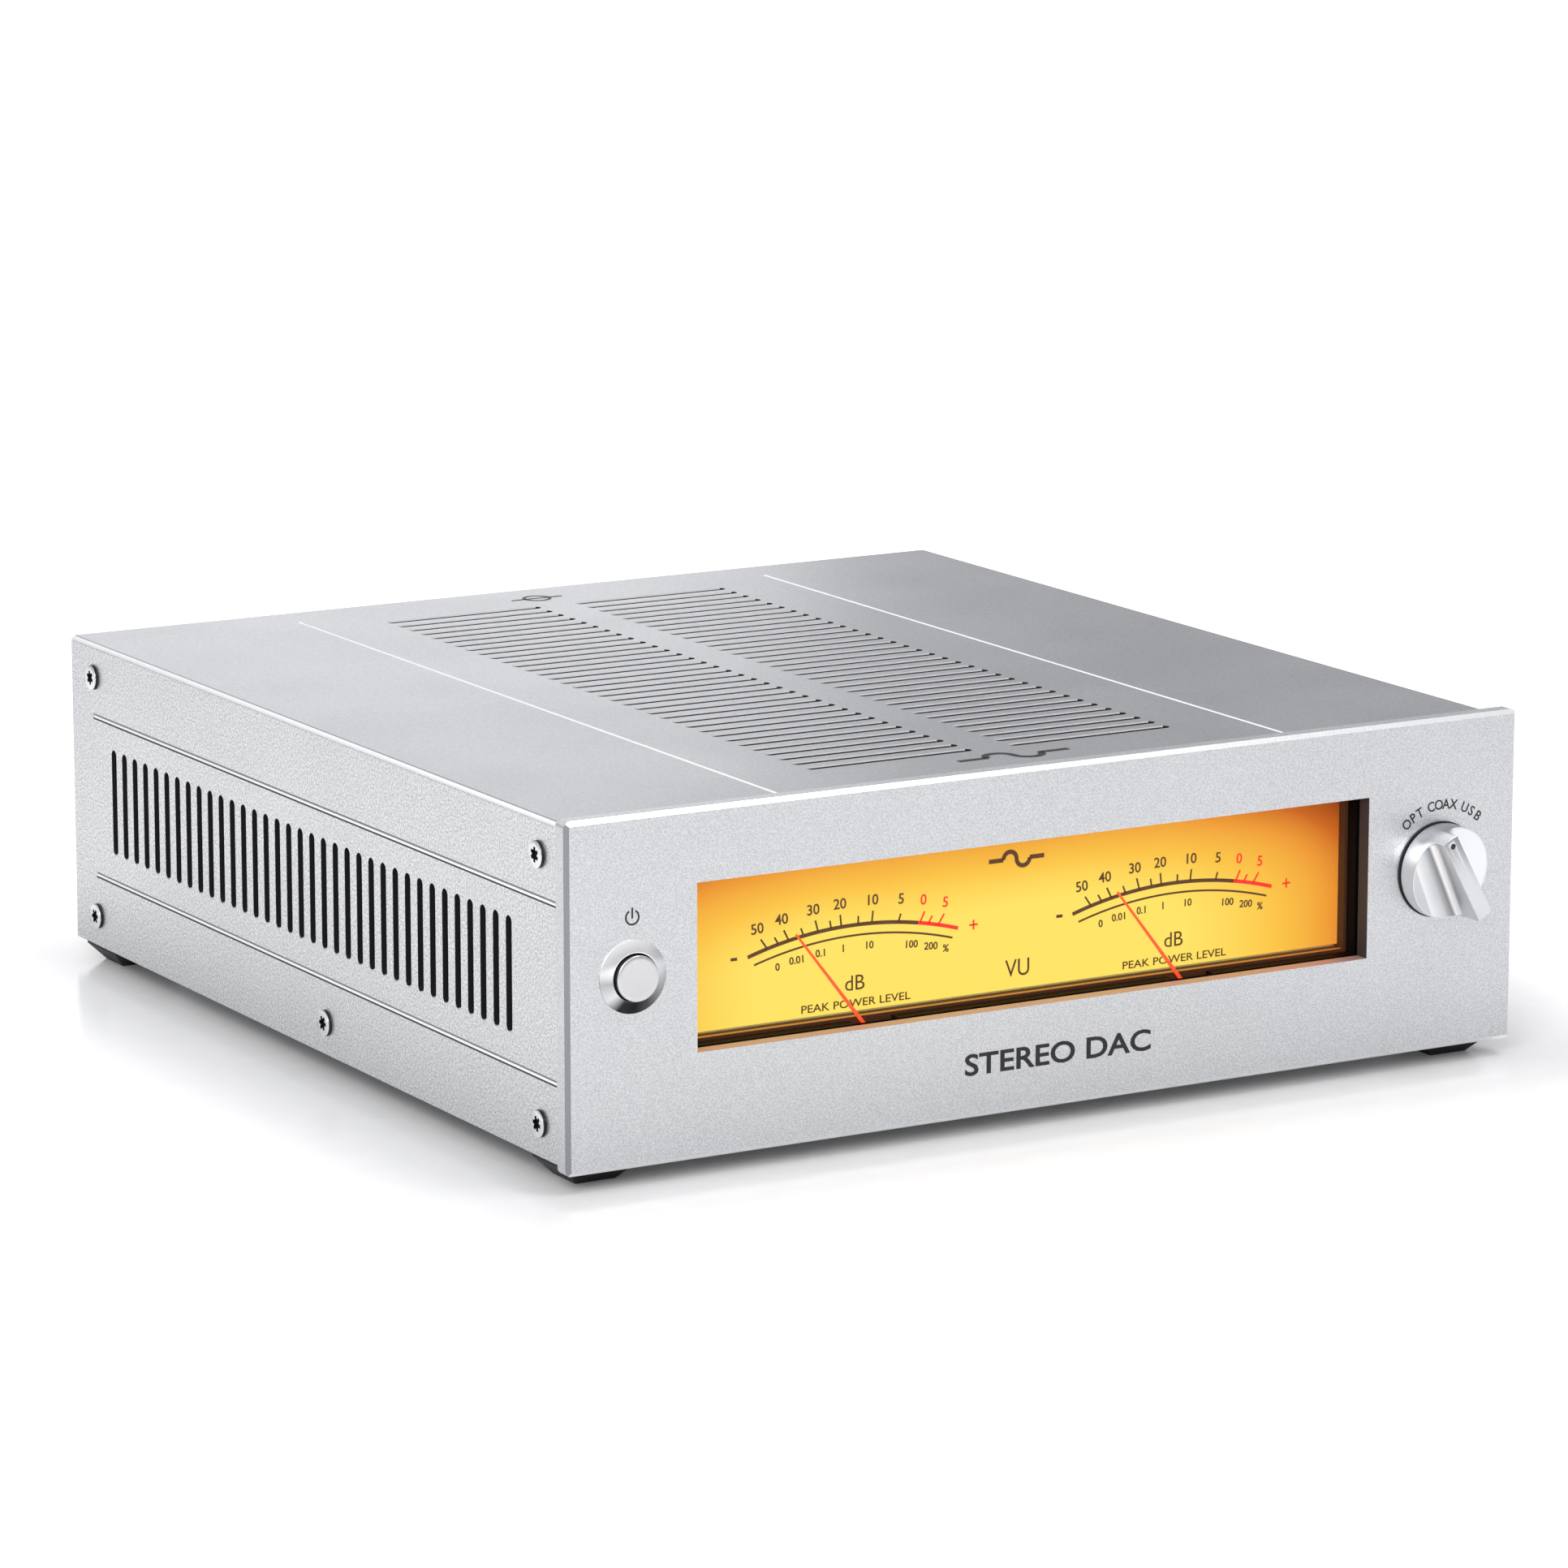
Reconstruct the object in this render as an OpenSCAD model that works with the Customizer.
// Desktop digital-to-analogue converter with two backlit level meters.
// Units are millimetres. +Z is up, +X is right, the front faces -Y.
// Origin: middle of the footprint, on the surface the feet stand on.
// Every module is drawn in panel coordinates: x from the centre line,
// y back from the front face, z up from the panel's lower edge.

/* [Front panel] */
// Width across the panel
panel_w = 245; // [200:1:430]
// Height of the panel
panel_h = 76.8; // [60:0.1:110]
// Thickness of the panel
panel_t = 8.2; // [4:0.1:12]
// Chamfer round the front face
panel_chamfer = 0.95; // [0:0.05:2]
// Thickness of the rim round the panel's back
panel_lip = 4.4; // [3:0.1:8]
// Rounding of the panel's four corners
panel_corner = 1.5; // [0.5:0.1:4]
// Height of the feet below the panel
foot_h = 4.0; // [2:0.1:12]

/* [Case] */
// Length of the case behind the panel
case_d = 247; // [180:1:400]
// Step in from the panel's side to the case
case_in = 1.9; // [0:0.1:6]
// Step down from the panel's top to the case
case_down = 1.54; // [0:0.01:5]
// Height of the case's lower edge above the panel's
case_lift = 0.92; // [0:0.01:4]
// Sheet thickness of the cover
sheet = 2.0; // [1:0.1:3]
// Outer bend radius of the cover
bend_r = 1.3; // [1:0.1:4]

/* [Cooling slots] */
// Slots in each row
slot_count = 35; // [5:1:60]
// Distance from slot to slot
slot_pitch = 5.95; // [4:0.05:10]
// Width of one slot
slot_w = 2.75; // [1:0.05:4]
// Height of the slots in the sides
slot_side_len = 25.7; // [10:0.1:50]
// Length of the slots in the top
slot_top_len = 42.2; // [10:0.1:60]

/* [Meters] */
// Width of the window
window_w = 172.87; // [100:0.1:200]
// Height of the window
window_h = 37.03; // [20:0.1:60]
// Sideways offset of the window
window_x = -4.5; // [-20:0.1:20]
// Height of the middle of the window, knob and button
axis_z = 42; // [30:0.1:60]
// Distance between the two needles
needle_gap = 82.1; // [40:0.1:100]
// Length of a needle from its pivot
needle_len = 32.1; // [15:0.1:40]
// Height of the needle pivots
pivot_z = 19.5; // [15:0.1:30]
// Lean of the needles at rest
needle_lean = 38; // [-48:0.5:40]

/* [Controls] */
// Sideways position of the power button
power_x = -106.6; // [-115:0.1:-95]
// Diameter of the power button
power_d = 10; // [6:0.1:14]
// Sideways position of the selector
knob_x = 101.2; // [90:0.1:112]
// Diameter of the selector knob
knob_d = 21.6; // [15:0.1:26]
// Width of the grip across the knob
knob_bar = 4.0; // [2:0.1:8]
// Lean of the grip to the left at rest
knob_lean = 28.5; // [0:0.5:45]

/* [Output] */
// Sub-part to draw, or all

/* [Hidden] */
$fn = 48;
eps = 0.02;
bit = 0.06;                          // sliver of air between touching parts
knob_reach = 11.6;                   // front of the knob before the panel
jack_end = 264.7;                    // rear end of the phono jacks
y_front = knob_reach - (knob_reach + jack_end) / 2;
side_x = panel_w / 2 - case_in;      // outer face of the cover's side
in_x = side_x - sheet;               // inner face of the cover's side
top_z = panel_h - case_down;         // top of the cover
in_z = top_z - sheet;                // underside of the cover
case_y0 = panel_lip + bit;           // front edge of the cover
case_y1 = panel_t + case_d;          // rear edge of the cover
// Cover screws
screw_front_y = 15.7;
screw_mid_y = 118.6;
screw_rear_y = 242.8;
screw_high_z = 67.0;
screw_low_z = 8.3;
// Slot rows
slot_y0 = 29.35;
slot_side_z = 38.2;
slot_top_x = 26.1;
// Decorative grooves
groove_side_z = [18.5, 57.5];
groove_top_x = 65.4;
groove_end_y = 243.25;
// Bottom tray and its brackets
tray_t = 1.6;
tray_z = case_lift + tray_t;         // top face of the tray's floor
tray_x = in_x - 0.15;                // outer face of its turned-up sides
flange_h = 14;
bracket_y0 = panel_t + 0.1;
bracket_t = 2.0;
bracket_y1 = bracket_y0 + bracket_t;
rear_y0 = case_y1 - 3.0;
rear_y1 = rear_y0 + 2.0;             // outer face of the rear panel
// Window and meter unit
win_x0 = window_x - window_w / 2;
win_x1 = window_x + window_w / 2;
win_z0 = axis_z - window_h / 2;
win_z1 = axis_z + window_h / 2;
win_wall = 3.7;                      // panel thickness left at the window
frame_x0 = win_x0 - 4.9;
frame_x1 = win_x1 + 4.9;
frame_z0 = 12.7;
frame_z1 = 67.0;
lens_t = 1.2;
box_y0 = panel_t + 0.25;
dial_y = 10.8;                       // printed face of the dial
board_y0 = 22.05;
board_t = 1.6;
board_y1 = board_y0 + board_t;
box_step = 0.6;                      // light box wall inside the frame's
pivot_x = [window_x + 2.1 - needle_gap / 2, window_x + 2.1 + needle_gap / 2];
needle_y = 6.0;
post_at = [[-85, 17], [76, 17], [-85, 63.6], [76, 63.6]];
// Rear sockets
inlet_x = 88;
volt_x = 50;
usb_x = 26;
opt_x = 6;
jack_x = [-50, -36, -15];
bal_x = [-101.4, -74];
sock_z = 36;
// Boards
board_z = 12.0;
main_at = [-112, 62, 34, 240];
supply_at = [52, 128, 112, 226];
stand_at = [[-106, 68], [28, 68], [-106, 150], [28, 150], [-106, 232],
  [28, 232], [58, 134], [106, 134], [58, 220], [106, 220]];
core_at = [74, 78];
foot_at = [[-111.2, 13.4], [111.2, 13.4], [-111.2, 243.9], [111.2, 243.9]];
panel_fix = [[-111, 15], [111, 15], [-111, 68.5], [111, 68.5],
  [-40, 70], [40, 70], [-40, 8], [40, 8]];
tray_fix = [-90, 0, 90];

// ---- helpers -------------------------------------------------------------

// Places panel coordinates in the part's frame.
module unit() {
  translate([0, y_front, foot_h]) children();
}

// A block given by its limits.
module block(x0, x1, y0, y1, z0, z1) {
  translate([x0, y0, z0]) cube([x1 - x0, y1 - y0, z1 - z0]);
}

// A round bar that runs front to back.
module rod_y(x, z, y0, y1, r) {
  translate([x, y0, z]) rotate([-90, 0, 0]) cylinder(r = r, h = y1 - y0);
}

// A round bar that runs left to right.
module rod_x(y, z, x0, x1, r) {
  translate([x0, y, z]) rotate([0, 90, 0]) cylinder(r = r, h = x1 - x0);
}

// An upright round bar.
module rod_z(x, y, z0, z1, r) {
  translate([x, y, z0]) cylinder(r = r, h = z1 - z0);
}

// Extrudes an x-z drawing from y0 to y1.
module slab_y(y0, y1) {
  translate([0, y1, 0]) rotate([90, 0, 0]) linear_extrude(y1 - y0) children();
}

// A rectangle with round corners, given by its limits.
module soft_rect(x0, x1, y0, y1, r) {
  translate([x0 + r, y0]) square([x1 - x0 - 2 * r, y1 - y0]);
  translate([x0, y0 + r]) square([x1 - x0, y1 - y0 - 2 * r]);
  for (x = [x0 + r, x1 - r])
    for (y = [y0 + r, y1 - r])
      translate([x, y]) circle(r);
}

// A rectangle with fully round ends, longer along the first axis.
module stadium(len, w) {
  square([len - w, w], center = true);
  for (s = [-1, 1])
    translate([s * (len - w) / 2, 0]) circle(w / 2, $fn = 24);
}

// A six-lobed driver recess.
module lobes(r) {
  circle(r * 0.8, $fn = 24);
  for (i = [0:5])
    rotate(i * 60) translate([r * 0.72, 0]) circle(r * 0.3, $fn = 16);
}

// A hexagon across its flats.
module hexagon(flats) {
  circle(flats / sqrt(3), $fn = 6);
}

// ---- front panel and enclosure -------------------------------------------

module front_panel() {
  half = panel_w / 2;
  c = panel_chamfer;
  color("#d9dbdd") unit() difference() {
    intersection() {
      slab_y(0, panel_t) soft_rect(-half, half, 0, panel_h, panel_corner);
      linear_extrude(panel_h) polygon([[-half + c, 0], [half - c, 0], [half, c],
        [half, panel_t], [-half, panel_t], [-half, c]]);
      translate([-half, 0, 0]) rotate([90, 0, 90]) linear_extrude(panel_w)
        polygon([[0, c], [c, 0], [panel_t, 0], [panel_t, panel_h],
          [c, panel_h], [0, panel_h - c]]);
    }
    block(win_x0, win_x1, -1, panel_t + 1, win_z0, win_z1);
    block(frame_x0 - 0.1, frame_x1 + 0.1, win_wall, panel_t + 1,
      frame_z0 - 0.1, frame_z1 + 0.1);
    rod_y(power_x, axis_z, -1, panel_t + 1, 7.0);
    rod_y(knob_x, axis_z, -1, panel_t + 1, 6.0);
    rod_y(knob_x, axis_z, 4.8, panel_t + 1, 9.0);
    for (p = panel_fix)
      rod_y(p[0], p[1], 3.5, panel_t + 1, 1.55);
    // step that the cover slides over
    for (s = [-1, 1])
      block(s > 0 ? in_x - 0.15 : -half - 1, s > 0 ? half + 1 : -in_x + 0.15,
        panel_lip, panel_t + 1, -1, panel_h + 1);
    block(-half - 1, half + 1, panel_lip, panel_t + 1, in_z - 0.15,
      panel_h + 1);
  }
}

module front_bracket() {
  color("#8f9499") unit() difference() {
    union() {
      block(-tray_x, tray_x, bracket_y0, bracket_y1, tray_z + bit, in_z - 0.2);
      for (s = [-1, 1])
        block(s > 0 ? tray_x - bracket_t : -tray_x,
          s > 0 ? tray_x : -tray_x + bracket_t,
          bracket_y0, 24, flange_h + 2, in_z - 0.2);
      block(-100, 100, bracket_y0, 22, tray_z + bit, tray_z + bit + 1.5);
    }
    // room for the tray's turned-up sides
    for (s = [-1, 1])
      block(s * tray_x - 2.2, s * tray_x + 2.2, 0, 30, 0, flange_h + 0.5);
    block(win_x0 - 2.6, win_x1 + 2.6, 0, 30, 14.6, 65.4);
    rod_y(power_x, axis_z, 0, 30, 7.0);
    rod_y(knob_x, axis_z, 0, 30, 4.6);
    for (p = panel_fix)
      rod_y(p[0], p[1], 0, 30, 1.7);
    for (s = [-1, 1])
      rod_x(screw_front_y, screw_high_z, s * tray_x - 4, s * tray_x + 4, 1.7);
    for (x = tray_fix)
      rod_z(x, 16.5, 0, 10, 1.7);
  }
}

// One hexagon-socket screw behind the panel.
module panel_screws() {
  color("#3a3d40") unit()
    for (p = panel_fix)
      difference() {
        union() {
          rod_y(p[0], p[1], 4, bracket_y1 + 1, 1.5);
          rod_y(p[0], p[1], bracket_y1 + eps, bracket_y1 + 2.4, 2.7);
        }
        slab_y(bracket_y1 + 1.1, bracket_y1 + 3)
          translate([p[0], p[1]]) hexagon(2.5);
      }
}

// Cuts one row of slots; the drawing's first axis runs along each slot.
module slot_row(len) {
  for (i = [0:slot_count - 1])
    translate([0, slot_y0 + i * slot_pitch]) stadium(len, slot_w);
}

// The screw positions on one side, as [y, z].
function cover_fix() = [[screw_front_y, screw_high_z],
  [screw_rear_y, screw_high_z], [screw_front_y, screw_low_z],
  [screw_mid_y, screw_low_z], [screw_rear_y, screw_low_z]];

// Bent sheet: the top and both sides in one piece.
module top_cover() {
  color("#cfd1d4") unit() difference() {
    slab_y(case_y0, case_y1) difference() {
      union() {
        soft_rect(-side_x, side_x, 40, top_z, bend_r);
        translate([-side_x, case_lift]) square([2 * side_x, 50]);
      }
      translate([-in_x, -1]) square([2 * in_x, in_z + 1]);
    }
    for (s = [-1, 1]) {
      // slots in the top
      translate([s * slot_top_x, 0, in_z - 1]) linear_extrude(sheet + 2)
        slot_row(slot_top_len);
      // slots in the side
      translate([s * side_x - 4, 0, slot_side_z]) rotate([0, 90, 0])
        linear_extrude(8) slot_row(slot_side_len);
      // grooves
      slab_y(case_y0 - 1, groove_end_y) {
        for (z = groove_side_z)
          polygon([[s * (side_x - 0.6), z], [s * (side_x + 0.4), z + 1.25],
            [s * (side_x + 0.4), z - 1.25]]);
        polygon([[s * groove_top_x, top_z - 0.5],
          [s * groove_top_x - 1, top_z + 0.5],
          [s * groove_top_x + 1, top_z + 0.5]]);
      }
      // screw holes
      for (p = cover_fix())
        rod_x(p[0], p[1], s * side_x - 4, s * side_x + 4, 1.7);
    }
  }
}

// Cover screws on one side; s is -1 for left and 1 for right.
module cover_screws(s) {
  color("#e8eaec") unit() scale([s, 1, 1])
    for (p = cover_fix())
      difference() {
        union() {
          rod_x(p[0], p[1], side_x + 0.03, side_x + 0.9, 3.0);
          rod_x(p[0], p[1], side_x - 7, side_x + 0.1, 1.5);
        }
        translate([side_x + 0.15, p[0], p[1]]) rotate([0, 90, 0])
          linear_extrude(2) lobes(1.6);
      }
}

module cover_screws_left() {
  cover_screws(-1);
}

module cover_screws_right() {
  cover_screws(1);
}

// Clinch nuts on the inside of the flanges.
module cover_nuts() {
  color("#b9bcc0") unit()
    for (s = [-1, 1])
      for (p = cover_fix()) {
        wall = p[1] > 30 ? bracket_t : tray_t;
        x = s * (tray_x - wall - 0.03);
        difference() {
          translate([x, p[0], p[1]]) rotate([0, -s * 90, 0])
            linear_extrude(2) hexagon(5.5);
          rod_x(p[0], p[1], x - 4, x + 4, 1.55);
        }
      }
}

module base_tray() {
  color("#9a9ea3") unit() difference() {
    union() {
      block(-tray_x, tray_x, bracket_y1 + 0.2, rear_y0 - 0.1,
        case_lift, tray_z);
      for (s = [-1, 1])
        block(s > 0 ? tray_x - tray_t : -tray_x,
          s > 0 ? tray_x : -tray_x + tray_t,
          bracket_y1 + 0.2, rear_y0 - 0.1, case_lift, flange_h);
      for (p = foot_at)
        rod_z(p[0], p[1] < 100 ? 15 : p[1], tray_z - 0.5, tray_z + 3, 2.9);
    }
    for (s = [-1, 1])
      for (p = cover_fix())
        if (p[1] < 30)
          rod_x(p[0], p[1], s * tray_x - 4, s * tray_x + 4, 1.7);
    for (p = foot_at)
      rod_z(p[0], p[1] < 100 ? 15 : p[1], -1, 9, 1.55);
    for (x = tray_fix)
      for (y = [16.5, 245.5])
        rod_z(x, y, -1, 9, 1.7);
    // transformer bolt
    rod_z(core_at[0], core_at[1], -1, 9, 2.6);
    // cooling slots under the tubes
    for (i = [0:9])
      translate([-60, 96 + i * 8, -1]) linear_extrude(9) stadium(50, 3);
  }
}

// Screws that join the tray to the front bracket and the rear panel.
module tray_screws() {
  color("#3a3d40") unit()
    for (x = tray_fix)
      for (y = [16.5, 245.5]) {
        rod_z(x, y, case_lift - 1.6, case_lift - bit, 2.7);
        rod_z(x, y, case_lift - 0.5, tray_z + 4, 1.5);
      }
}

// One foot: a block with four sloping sides, flat on the floor.
module foot(i) {
  p = foot_at[i];
  bottom = 4.8;
  slope = 0.92;
  top = bottom + slope * (foot_h - 0.3);
  hole_y = p[1] < 100 ? 15 : p[1];
  color("#141416") unit() difference() {
    union() {
      intersection() {
        translate([p[0], p[1] + 40, 0]) rotate([90, 0, 0])
          linear_extrude(80) polygon([[-bottom, -foot_h], [bottom, -foot_h],
            [top, -0.3], [-top, -0.3]]);
        translate([p[0] - 40, p[1], 0]) rotate([90, 0, 90])
          linear_extrude(80) polygon([[-bottom, -foot_h], [bottom, -foot_h],
            [top, -0.3], [-top, -0.3]]);
      }
      block(p[0] - top, p[0] + top > in_x ? in_x : p[0] + top,
        max(p[1] - top, bracket_y1 + 0.3), p[1] + top,
        -0.32, case_lift - bit);
    }
    rod_z(p[0], hole_y, -foot_h - 1, 3, 1.7);
    rod_z(p[0], hole_y, -foot_h - 1, -1.4, 3.0);
  }
}

module foot_front_left() {
  foot(0);
}

module foot_front_right() {
  foot(1);
}

module foot_rear_left() {
  foot(2);
}

module foot_rear_right() {
  foot(3);
}

module foot_screws() {
  color("#3a3d40") unit()
    for (p = foot_at) {
      y = p[1] < 100 ? 15 : p[1];
      difference() {
        union() {
          rod_z(p[0], y, -3.3, -1.4 - bit, 2.75);
          rod_z(p[0], y, -2, tray_z + 2.6, 1.5);
        }
        translate([p[0], y, -4]) linear_extrude(1.8) hexagon(2.0);
      }
    }
}

// ---- meter unit ----------------------------------------------------------

// Clear pane held against the back of the window.
module window_lens() {
  color("#e8f0f2", 0.3) unit()
    block(win_x0 - 1.8, win_x1 + 1.8, win_wall + 0.05,
      win_wall + 0.05 + lens_t, win_z0 - 1.8, win_z1 + 1.8);
}

module meter_frame() {
  y0 = win_wall + 0.05;
  color("#131314") unit() difference() {
    union() {
      block(frame_x0, frame_x1, y0, panel_t, frame_z0, frame_z1);
      for (p = post_at)
        rod_y(p[0], p[1], panel_t - 1, board_y0 - bit, 1.7);
    }
    block(win_x0, win_x1, y0 - 1, panel_t + 1, win_z0, win_z1);
    // rebate for the lens
    block(win_x0 - 1.9, win_x1 + 1.9, y0 - 1, y0 + lens_t + bit,
      win_z0 - 1.9, win_z1 + 1.9);
    // pockets for the needle hubs
    for (x = pivot_x) {
      rod_y(x, pivot_z, y0 + lens_t + 0.2, panel_t + 1, 5.4);
      block(x - 5.4, x + 5.4, y0 + lens_t + 0.2, panel_t + 1,
        pivot_z, win_z0 + 1);
    }
    for (p = post_at)
      rod_y(p[0], p[1], board_y0 - 9, board_y0 + 1, 1.05);
  }
}

// Amber box whose lit walls are seen round the dial.
module light_box() {
  ox0 = win_x0 - 0.9;
  ox1 = win_x1 + 0.9;
  oz0 = win_z0 - 0.9;
  oz1 = win_z1 + 0.9;
  color("#e0761c") unit() difference() {
    block(ox0, ox1, box_y0, board_y0 - bit, oz0, oz1);
    block(win_x0 + box_step, win_x1 - box_step, box_y0 - 1, board_y0 + 1,
      win_z0 + box_step, win_z1 - box_step);
    // ledges let the dial and the diffuser slide in from behind
    block(win_x0 - 0.1, win_x1 + 0.1, dial_y + 1.26, board_y0 + 1,
      win_z0 - 0.1, win_z1 + 0.1);
  }
}

// Printed dial; its lower edge stops short of the box's floor.
module dial_plate() {
  color("#f6b42c") unit()
    block(win_x0 + box_step + bit, win_x1 - box_step - bit, dial_y,
      dial_y + 1.2, win_z0 + box_step + 0.75, win_z1 - box_step - bit);
}

module diffuser() {
  color("#fff6e0") unit()
    block(win_x0, win_x1, dial_y + 1.35, dial_y + 3.3,
      win_z0, win_z1);
}

module meter_board() {
  color("#1e5a36") unit() {
    difference() {
      block(win_x0 - 2.2, win_x1 + 2.2, board_y0, board_y1, 7, 66);
      for (x = pivot_x)
        rod_y(x, pivot_z, 0, 40, 2.0);
      for (p = post_at)
        rod_y(p[0], p[1], 0, 40, 1.15);
    }
    // plug connector for the flat cable
    block(-16, 8, board_y1, board_y1 + 7, 8, 14);
  }
}

module backlight_leds() {
  color("#fff3c4") unit()
    for (i = [0:9])
      for (z = [33, 51])
        block(win_x0 + 12 + i * 16.4, win_x0 + 15.5 + i * 16.4,
          board_y0 - 1.0, board_y0 - 0.02, z - 1.4, z + 1.4);
}

module meter_screws() {
  color("#3a3d40") unit()
    for (p = post_at) {
      rod_y(p[0], p[1], board_y0 - 7, board_y1 + 0.6, 1.0);
      rod_y(p[0], p[1], board_y1 + eps, board_y1 + 1.6, 2.0);
    }
}

// Cup of a moving-coil drive; i is 0 for left and 1 for right.
module movement(i) {
  color("#5d6166") unit() difference() {
    rod_y(pivot_x[i], pivot_z, board_y1 + 0.3, 40, 9.5);
    rod_y(pivot_x[i], pivot_z, board_y1 + 2.3, 41, 8.2);
    rod_y(pivot_x[i], pivot_z, board_y1 - 1, 41, 0.66);
  }
}

module movement_left() {
  movement(0);
}

module movement_right() {
  movement(1);
}

// Closes both cups and holds the fixed iron core.
module movement_covers() {
  color("#2b2d30") unit()
    for (x = pivot_x) {
      rod_y(x, pivot_z, 40.05, 41.4, 9.5);
      for (s = [-1, 1])
        rod_y(x + 4 * s, pivot_z + 6, 41.3, 46, 0.8);
    }
}

// Pointer, hub, balance tail, shaft and coil of one meter.
module needle(i) {
  color("#ff4a22") unit() {
    translate([pivot_x[i], 0, pivot_z]) rotate([0, -needle_lean, 0]) {
      slab_y(needle_y - 0.15, needle_y + 0.15)
        polygon([[-0.45, 0], [0.45, 0], [0.22, needle_len],
          [-0.22, needle_len]]);
      block(-0.9, 0.9, needle_y - 0.15, needle_y + 0.15, -4.6, 0);
      rod_y(0, 0, needle_y - 0.6, needle_y + 1.4, 1.9);
      rod_y(0, 0, needle_y + 1.2, 38, 0.6);
      rod_y(0, 0, 29, 36, 6.5);
    }
  }
}

module needle_left() {
  needle(0);
}

module needle_right() {
  needle(1);
}

// ---- power button --------------------------------------------------------

// Polished conical bezel with a threaded barrel.
module power_bezel() {
  bore = power_d / 2 + 0.25;
  color("#c9ccd0") unit() translate([power_x, 0, axis_z]) rotate([-90, 0, 0])
    rotate_extrude() polygon([[bore, -1.35], [bore + 0.3, -1.4],
      [8.05, -0.1], [8.05, 0], [6.9, 0], [6.9, 17],
      [3.2, 17], [3.2, 14.5], [bore, 14.5]]);
}

module power_cap() {
  r = power_d / 2;
  color("#f2f2f3") unit() translate([power_x, 0, axis_z]) rotate([-90, 0, 0])
    rotate_extrude() polygon([[0, -2.75], [r - 0.35, -2.75], [r, -2.4],
      [r, 9], [2.6, 9], [2.6, 19], [0, 19]]);
}

module power_nut() {
  color("#9da1a6") unit() difference() {
    slab_y(bracket_y1 + 0.05, bracket_y1 + 2.8)
      translate([power_x, axis_z]) rotate(30) hexagon(16.6);
    rod_y(power_x, axis_z, 0, 30, 6.95);
  }
}

// Contact block on the end of the barrel.
module power_switch() {
  color("#1c1d1f") unit() difference() {
    union() {
      rod_y(power_x, axis_z, 17 + bit, 31, 6.6);
      for (x = [-3, 3])
        for (z = [-2.5, 2.5])
          block(power_x + x - 0.3, power_x + x + 0.3, 30.5, 36,
            axis_z + z - 1.2, axis_z + z + 1.2);
    }
    rod_y(power_x, axis_z, 16, 22, 3.0);
  }
}

// ---- input selector ------------------------------------------------------

// Everything that turns is drawn upright and then leaned over.
module knob_pose() {
  translate([knob_x, 0, axis_z]) rotate([0, -knob_lean, 0]) children();
}

// One scoop; its floor dips towards the knob's lower edge.
module scoop() {
  root = 3.0;
  floor_at = 4.8;
  translate([0, -floor_at, 0]) rotate([9, 0, 0]) translate([0, 0, -20])
    linear_extrude(40) mirror([0, 1]) {
      translate([knob_bar / 2, root]) square([20, 20]);
      translate([knob_bar / 2 + root, 0]) square([20, 20]);
      translate([knob_bar / 2 + root, root]) circle(root);
    }
}

module selector_knob() {
  r = knob_d / 2;
  color("#e3e5e7") unit() knob_pose() difference() {
    rotate([-90, 0, 0]) rotate_extrude() polygon([[0, -knob_reach],
      [r - 0.4, -knob_reach], [r, -knob_reach + 0.4], [r, -0.9],
      [r - 0.3, -0.6], [5.5, -0.6], [5.5, 5.2], [0, 5.2]]);
    scoop();
    mirror([1, 0, 0]) scoop();
    difference() {
      rod_y(0, 0, -3.3, 6, 3.05);
      block(-4, 4, -4, 7, 1.55, 4);
    }
    rod_y(0, 8.1, -knob_reach - 1, -knob_reach + 0.3, 0.62);
  }
}

module selector_shaft() {
  color("#c2c5c9") unit() knob_pose() {
    difference() {
      rod_y(0, 0, -3.2, 19, 3.0);
      block(-4, 4, -4, 5.6, 1.5, 4);
    }
  }
}

module selector_nut() {
  color("#9da1a6") unit() difference() {
    slab_y(6.1, bracket_y0 - 0.05) translate([knob_x, axis_z]) hexagon(13);
    rod_y(knob_x, axis_z, 0, 30, 4.6);
  }
}

// Case of the rotary switch with its threaded bush.
module rotary_switch() {
  color("#25272a") unit() difference() {
    union() {
      rod_y(knob_x, axis_z, bracket_y1 + 0.05, 22, 12.3);
      rod_y(knob_x, axis_z, 6.0, 12, 4.5);
      for (i = [0:11])
        translate([knob_x, 0, axis_z]) rotate([0, i * 30, 0])
          rod_y(0, 9, 21.5, 25.4, 0.5);
    }
    rod_y(knob_x, axis_z, 0, 20, 3.05);
  }
}

module selector_board() {
  color("#1e5a36") unit() difference() {
    block(knob_x - 13.5, knob_x + 13.5, 22.1, 23.7, axis_z - 16, axis_z + 14);
    for (i = [0:11])
      translate([knob_x, 0, axis_z]) rotate([0, i * 30, 0])
        rod_y(0, 9, 20, 30, 0.6);
  }
}

// ---- rear panel and sockets ----------------------------------------------

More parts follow.
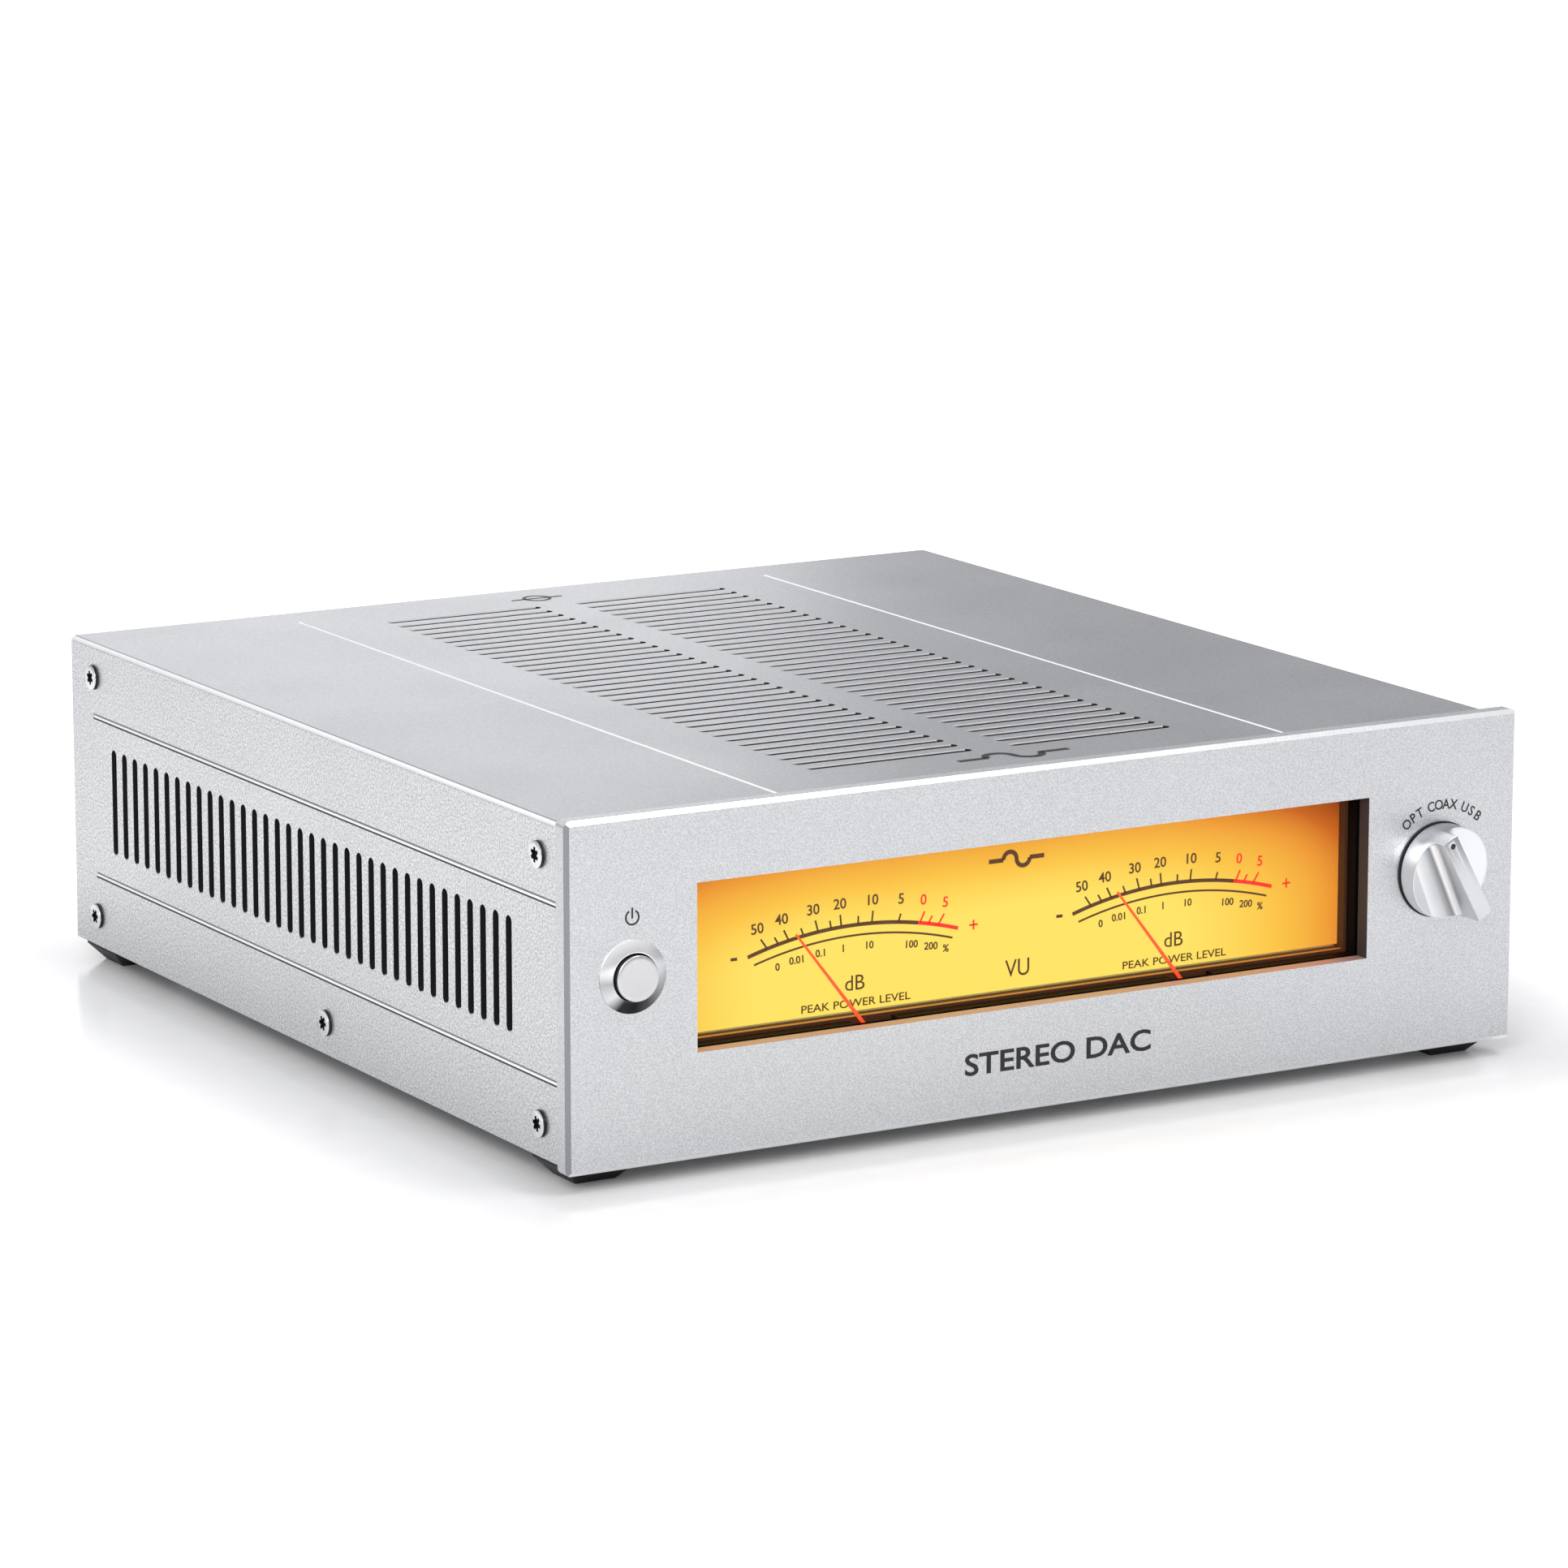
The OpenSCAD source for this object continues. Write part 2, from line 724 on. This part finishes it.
module rear_panel() {
  color("#c6c8cb") unit() difference() {
    union() {
      block(-tray_x, tray_x, rear_y0, rear_y1, case_lift + 0.1, in_z - 0.15);
      for (s = [-1, 1])
        block(s > 0 ? tray_x - bracket_t : -tray_x,
          s > 0 ? tray_x : -tray_x + bracket_t,
          rear_y0 - 14, rear_y1, flange_h + 2, in_z - 0.15);
      block(-100, 100, rear_y0 - 11, rear_y1, tray_z + bit,
        tray_z + bit + 1.5);
    }
    for (s = [-1, 1])
      rod_x(screw_rear_y, screw_high_z, s * tray_x - 4, s * tray_x + 4, 1.7);
    for (x = tray_fix)
      rod_z(x, 245.5, 0, 10, 1.7);
    block(inlet_x - 14.1, inlet_x + 14.1, 230, 260, sock_z - 15.1,
      sock_z + 15.1);
    block(volt_x - 7.1, volt_x + 7.1, 230, 260, sock_z - 8.1, sock_z + 8.1);
    block(usb_x - 6.2, usb_x + 6.2, 250, 260, sock_z - 5.8, sock_z + 5.8);
    block(opt_x - 6.7, opt_x + 6.7, 250, 260, sock_z - 7.2, sock_z + 7.2);
    for (x = jack_x)
      rod_y(x, sock_z, 250, 260, 4.2);
    for (x = bal_x)
      rod_y(x, sock_z, 250, 260, 11.8);
    for (p = socket_fix())
      rod_y(p[0], p[1], 250, 260, 1.25);
  }
}

// Screws that hold the rear sockets, as [x, z].
function socket_fix() = [[inlet_x - 20, sock_z], [inlet_x + 20, sock_z],
  [volt_x, sock_z + 11.5], [volt_x, sock_z - 11.5],
  [bal_x[0] - 9.5, sock_z + 12], [bal_x[0] + 9.5, sock_z - 12],
  [bal_x[1] - 9.5, sock_z + 12], [bal_x[1] + 9.5, sock_z - 12]];

module socket_screws() {
  color("#3a3d40") unit()
    for (i = [0:7]) {
      p = socket_fix()[i];
      face = i < 2 ? rear_y1 + 2.4 : i < 4 ? rear_y1 + 1.0 : rear_y1 + 1.7;
      difference() {
        union() {
          rod_y(p[0], p[1], face + 0.03, face + 1.4, 2.3);
          rod_y(p[0], p[1], rear_y0 - 2.5, face + 0.5, 1.2);
        }
        for (a = [0, 90])
          translate([p[0], face + 0.8, p[1]]) rotate([0, a, 0])
            block(-1.5, 1.5, 0, 2, -0.25, 0.25);
      }
    }
}

// Three-blade mains inlet with a fuse compartment under it.
module mains_inlet() {
  x = inlet_x;
  z = sock_z;
  face = rear_y1 + 2.4;
  color("#17181a") unit() {
    difference() {
      union() {
        block(x - 13.9, x + 13.9, 232, face - 0.5, z - 14.9, z + 14.9);
        slab_y(rear_y1 + 0.02, face)
          soft_rect(x - 25, x + 25, z - 16, z + 16, 4);
      }
      slab_y(face - 16, face + 1) polygon([[x - 12.2, z - 3],
        [x + 12.2, z - 3], [x + 12.2, z + 8], [x + 7.5, z + 13],
        [x - 7.5, z + 13], [x - 12.2, z + 8]]);
      block(x - 11.9, x + 11.9, 243, face + 1, z - 13, z - 6);
      for (s = [-20, 20])
        rod_y(x + s, z, 250, 260, 1.3);
    }
    for (p = [[-7, 2], [7, 2], [0, 6]])
      block(x + p[0] - 1, x + p[0] + 1, face - 17, face - 3,
        z + p[1] - 2, z + p[1] + 2);
    for (p = [[-7, 2], [7, 2], [0, 6]])
      block(x + p[0] - 0.4, x + p[0] + 0.4, 225, 233,
        z + p[1] - 2.4, z + p[1] + 2.4);
  }
}

// Drawer that carries the fuse; it pulls straight out to the rear.
module fuse_drawer() {
  x = inlet_x;
  z = sock_z;
  face = rear_y1 + 2.4;
  color("#232427") unit() difference() {
    block(x - 11.6, x + 11.6, 244, face + 0.8, z - 12.7, z - 6.3);
    block(x - 10.2, x + 10.2, 246, 252.4, z - 12.0, z - 6);
    block(x - 5, x + 5, face - 0.2, face + 2, z - 8.2, z - 7.2);
  }
}

// Glass fuse lying across the drawer.
module fuse() {
  color("#c9ccd0") unit() rod_x(249.2, sock_z - 9.35,
    inlet_x - 10, inlet_x + 10, 2.55);
}

module voltage_switch() {
  face = rear_y1 + 1.0;
  color("#1c1d1f") unit() difference() {
    union() {
      block(volt_x - 6.9, volt_x + 6.9, 243, face - 0.2, sock_z - 7.9,
        sock_z + 7.9);
      slab_y(rear_y1 + 0.02, face)
        soft_rect(volt_x - 8.5, volt_x + 8.5, sock_z - 14.5, sock_z + 14.5, 2);
    }
    block(volt_x - 3.4, volt_x + 3.4, 248, face + 1, sock_z - 6.4,
      sock_z + 6.4);
    for (s = [-11.5, 11.5])
      rod_y(volt_x, sock_z + s, 250, 260, 1.3);
  }
}

// Slider of the mains voltage selector; it moves up.
module voltage_slider() {
  color("#b3261e") unit() difference() {
    block(volt_x - 3, volt_x + 3, 248.4, rear_y1 + 0.4, sock_z - 6,
      sock_z);
    block(volt_x - 4, volt_x + 4, rear_y1 - 0.6, rear_y1 + 1,
      sock_z - 3.5, sock_z - 2.5);
  }
}

module usb_socket() {
  color("#d4d6d8") unit() {
    difference() {
      block(usb_x - 6, usb_x + 6, 240, rear_y1 + 1.6, sock_z - 5.6,
        sock_z + 5.6);
      slab_y(246, rear_y1 + 3) polygon([[usb_x - 4.3, sock_z - 3.9],
        [usb_x + 4.3, sock_z - 3.9], [usb_x + 4.3, sock_z + 2],
        [usb_x + 2.4, sock_z + 3.9], [usb_x - 2.4, sock_z + 3.9],
        [usb_x - 4.3, sock_z + 2]]);
    }
    block(usb_x - 2.8, usb_x + 2.8, 245, rear_y1 + 0.4, sock_z - 1.6,
      sock_z + 1.6);
  }
}

module optical_socket() {
  color("#1c1d1f") unit() difference() {
    block(opt_x - 6.5, opt_x + 6.5, 238, rear_y1 + 0.8, sock_z - 7,
      sock_z + 7);
    block(opt_x - 4.7, opt_x + 4.7, 242, rear_y1 + 2, sock_z - 4.5,
      sock_z + 4.5);
  }
}

// Sprung shutter, hung from its upper edge; it swings inwards.
module optical_shutter() {
  color("#3a3b3e") unit()
    block(opt_x - 4.35, opt_x + 4.35, rear_y1 - 0.4, rear_y1 + 0.4,
      sock_z - 4.1, sock_z + 4.0);
}

// Metal shells: two analogue outputs and the coaxial input.
module phono_jacks() {
  color("#d2b06a") unit()
    for (x = jack_x)
      translate([x, 0, sock_z]) rotate([-90, 0, 0]) rotate_extrude()
        polygon([[2.65, 246], [4.0, 246], [4.0, rear_y1 + 0.03],
          [6.2, rear_y1 + 0.03], [6.2, rear_y1 + 1.5], [4.15, rear_y1 + 1.9],
          [4.15, jack_end - 0.4], [3.9, jack_end], [3.45, jack_end],
          [3.45, rear_y1 + 1], [2.65, rear_y1 + 1]]);
}

module jack_insulators() {
  color("#f0f0ee") unit()
    for (x = jack_x)
      difference() {
        union() {
          rod_y(x, sock_z, 244, rear_y1 + 1, 2.6);
          rod_y(x, sock_z, rear_y1 + 1.05, jack_end - 0.8, 3.35);
          rod_y(x, sock_z, rear_y1 + 0.5, rear_y1 + 1.5, 2.6);
        }
        rod_y(x, sock_z, rear_y1, jack_end + 1, 1.65);
      }
}

// Three-pin balanced output shells.
module balanced_sockets() {
  face = rear_y1 + 1.7;
  color("#202124") unit()
    for (x = bal_x)
      difference() {
        union() {
          rod_y(x, sock_z, 234, face - 0.5, 11.5);
          slab_y(rear_y1 + 0.02, face)
            soft_rect(x - 13, x + 13, sock_z - 15.5, sock_z + 15.5, 2);
        }
        rod_y(x, sock_z, face - 14, face + 1, 9.4);
        for (p = bal_pins())
          rod_y(x + p[0], sock_z + p[1], 230, face, 1.2);
        rod_y(x - 9.5, sock_z + 12, 250, 260, 1.3);
        rod_y(x + 9.5, sock_z - 12, 250, 260, 1.3);
      }
}

// Pin places in a balanced socket.
function bal_pins() = [[-3.6, 2.0], [3.6, 2.0], [0, -4.2]];

module balanced_pins() {
  color("#d8c27a") unit()
    for (x = bal_x)
      for (p = bal_pins())
        rod_y(x + p[0], sock_z + p[1], 230, rear_y1 + 0.2, 1.18);
}

// ---- circuits inside -----------------------------------------------------

// A board with holes for the standoffs under it.
module board(a) {
  difference() {
    block(a[0], a[2], a[1], a[3], board_z, board_z + 1.6);
    for (p = stand_at)
      rod_z(p[0], p[1], 0, 30, 1.7);
  }
}

module main_board() {
  color("#1e5a36") unit() {
    board(main_at);
    // plug connector for the flat cable
    block(-16, 8, 64, 70, board_z + 1.6, board_z + 8);
  }
}

module supply_board() {
  color("#1e5a36") unit() {
    board(supply_at);
    // finned heat sinks
    for (y = [150, 196])
      for (i = [0:5])
        block(62 + i * 8, 65 + i * 8, y - 6, y + 6, board_z + 1.6, 44);
    for (y = [150, 196])
      block(62, 105, y - 7.4, y - 6, board_z + 1.6, 44);
  }
}

module standoffs() {
  color("#c9a858") unit()
    for (p = stand_at)
      difference() {
        translate([p[0], p[1], tray_z + 0.02])
          linear_extrude(board_z - tray_z - 0.04) hexagon(5.5);
        rod_z(p[0], p[1], board_z - 6, board_z + 1, 1.55);
      }
}

module board_screws() {
  color("#b9bcc0") unit()
    for (p = stand_at) {
      rod_z(p[0], p[1], board_z + 1.62, board_z + 3.4, 2.6);
      rod_z(p[0], p[1], board_z - 5, board_z + 2, 1.5);
    }
}

// Upright resistor-ladder boards, one pair for each channel.
module ladder_modules() {
  color("#233a6b") unit()
    for (x = [-96, -78, -12, 6]) {
      block(x - 0.8, x + 0.8, 160, 222, board_z + 1.62, 48);
      for (i = [0:10])
        block(x + 0.7, x + 2.2, 163 + i * 5.2, 166.4 + i * 5.2, 20, 44);
    }
}

module main_chips() {
  color("#17181a") unit() {
    for (p = [[-60, 84, 14], [-38, 84, 10], [16, 84, 10], [-46, 190, 18],
        [-46, 216, 12]])
      block(p[0] - p[2] / 2, p[0] + p[2] / 2, p[1] - p[2] / 2,
        p[1] + p[2] / 2, board_z + 1.62, board_z + 3.2);
    // output relays
    for (x = [-90, -66, -28])
      block(x - 5, x + 5, 224.5, 239, board_z + 1.62, board_z + 11);
  }
}

// Four small valves lying in clips.
module tubes() {
  color("#dfe6ea", 0.6) unit()
    for (x = [-92, -70, -30, -8]) {
      rod_y(x, board_z + 9, 104, 140, 4.8);
      for (y = [110, 132])
        block(x - 5.6, x + 5.6, y - 1.2, y + 1.2, board_z + 1.62,
          board_z + 8);
    }
}

module capacitors() {
  color("#20324f") unit() {
    for (p = [[66, 173], [82, 173], [98, 173]])
      rod_z(p[0], p[1], board_z + 1.62, 48, 7);
    for (p = [[-50, 108], [-50, 122], [-50, 136], [14, 110], [14, 126]])
      rod_z(p[0], p[1], board_z + 1.62, 34, 5);
    for (x = [-84, -24])
      rod_y(x, board_z + 8, 146, 157, 5.5);
    for (y = [138, 212])
      block(58 + 6, 58 + 30, y - 3, y + 3, board_z + 1.62, 27);
  }
}

// Toroidal mains transformer between two rubber discs.
module transformer() {
  color("#3c3f44") unit() translate([core_at[0], core_at[1], 0]) {
    translate([0, 0, 21]) rotate_extrude() difference() {
      translate([24, 0]) soft_rect(-12, 12, -16, 16, 5);
      translate([-50, -50]) square([50, 100]);
    }
    difference() {
      rod_z(0, 0, tray_z + 0.05, 5.2, 34);
      rod_z(0, 0, 0, 9, 12);
    }
  }
}

// Dished washer and the bolt through the middle of the transformer.
module transformer_bolt() {
  color("#b9bcc0") unit() translate([core_at[0], core_at[1], 0]) {
    rod_z(0, 0, 37.05, 38.6, 22);
    rod_z(0, 0, 0.95, 42, 2.5);
    translate([0, 0, 38.5]) linear_extrude(3) hexagon(8);
  }
}

// ---- drawing -------------------------------------------------------------

front_panel();
front_bracket();
panel_screws();
top_cover();
cover_screws_left();
cover_screws_right();
cover_nuts();
base_tray();
tray_screws();
foot_front_left();
foot_front_right();
foot_rear_left();
foot_rear_right();
foot_screws();
window_lens();
meter_frame();
light_box();
dial_plate();
diffuser();
meter_board();
backlight_leds();
meter_screws();
movement_left();
movement_right();
movement_covers();
needle_left();
needle_right();
power_bezel();
power_cap();
power_nut();
power_switch();
selector_knob();
selector_shaft();
selector_nut();
rotary_switch();
selector_board();
rear_panel();
mains_inlet();
fuse_drawer();
fuse();
voltage_switch();
voltage_slider();
usb_socket();
optical_socket();
optical_shutter();
phono_jacks();
jack_insulators();
balanced_sockets();
balanced_pins();
socket_screws();
main_board();
supply_board();
standoffs();
board_screws();
ladder_modules();
main_chips();
tubes();
capacitors();
transformer();
transformer_bolt();
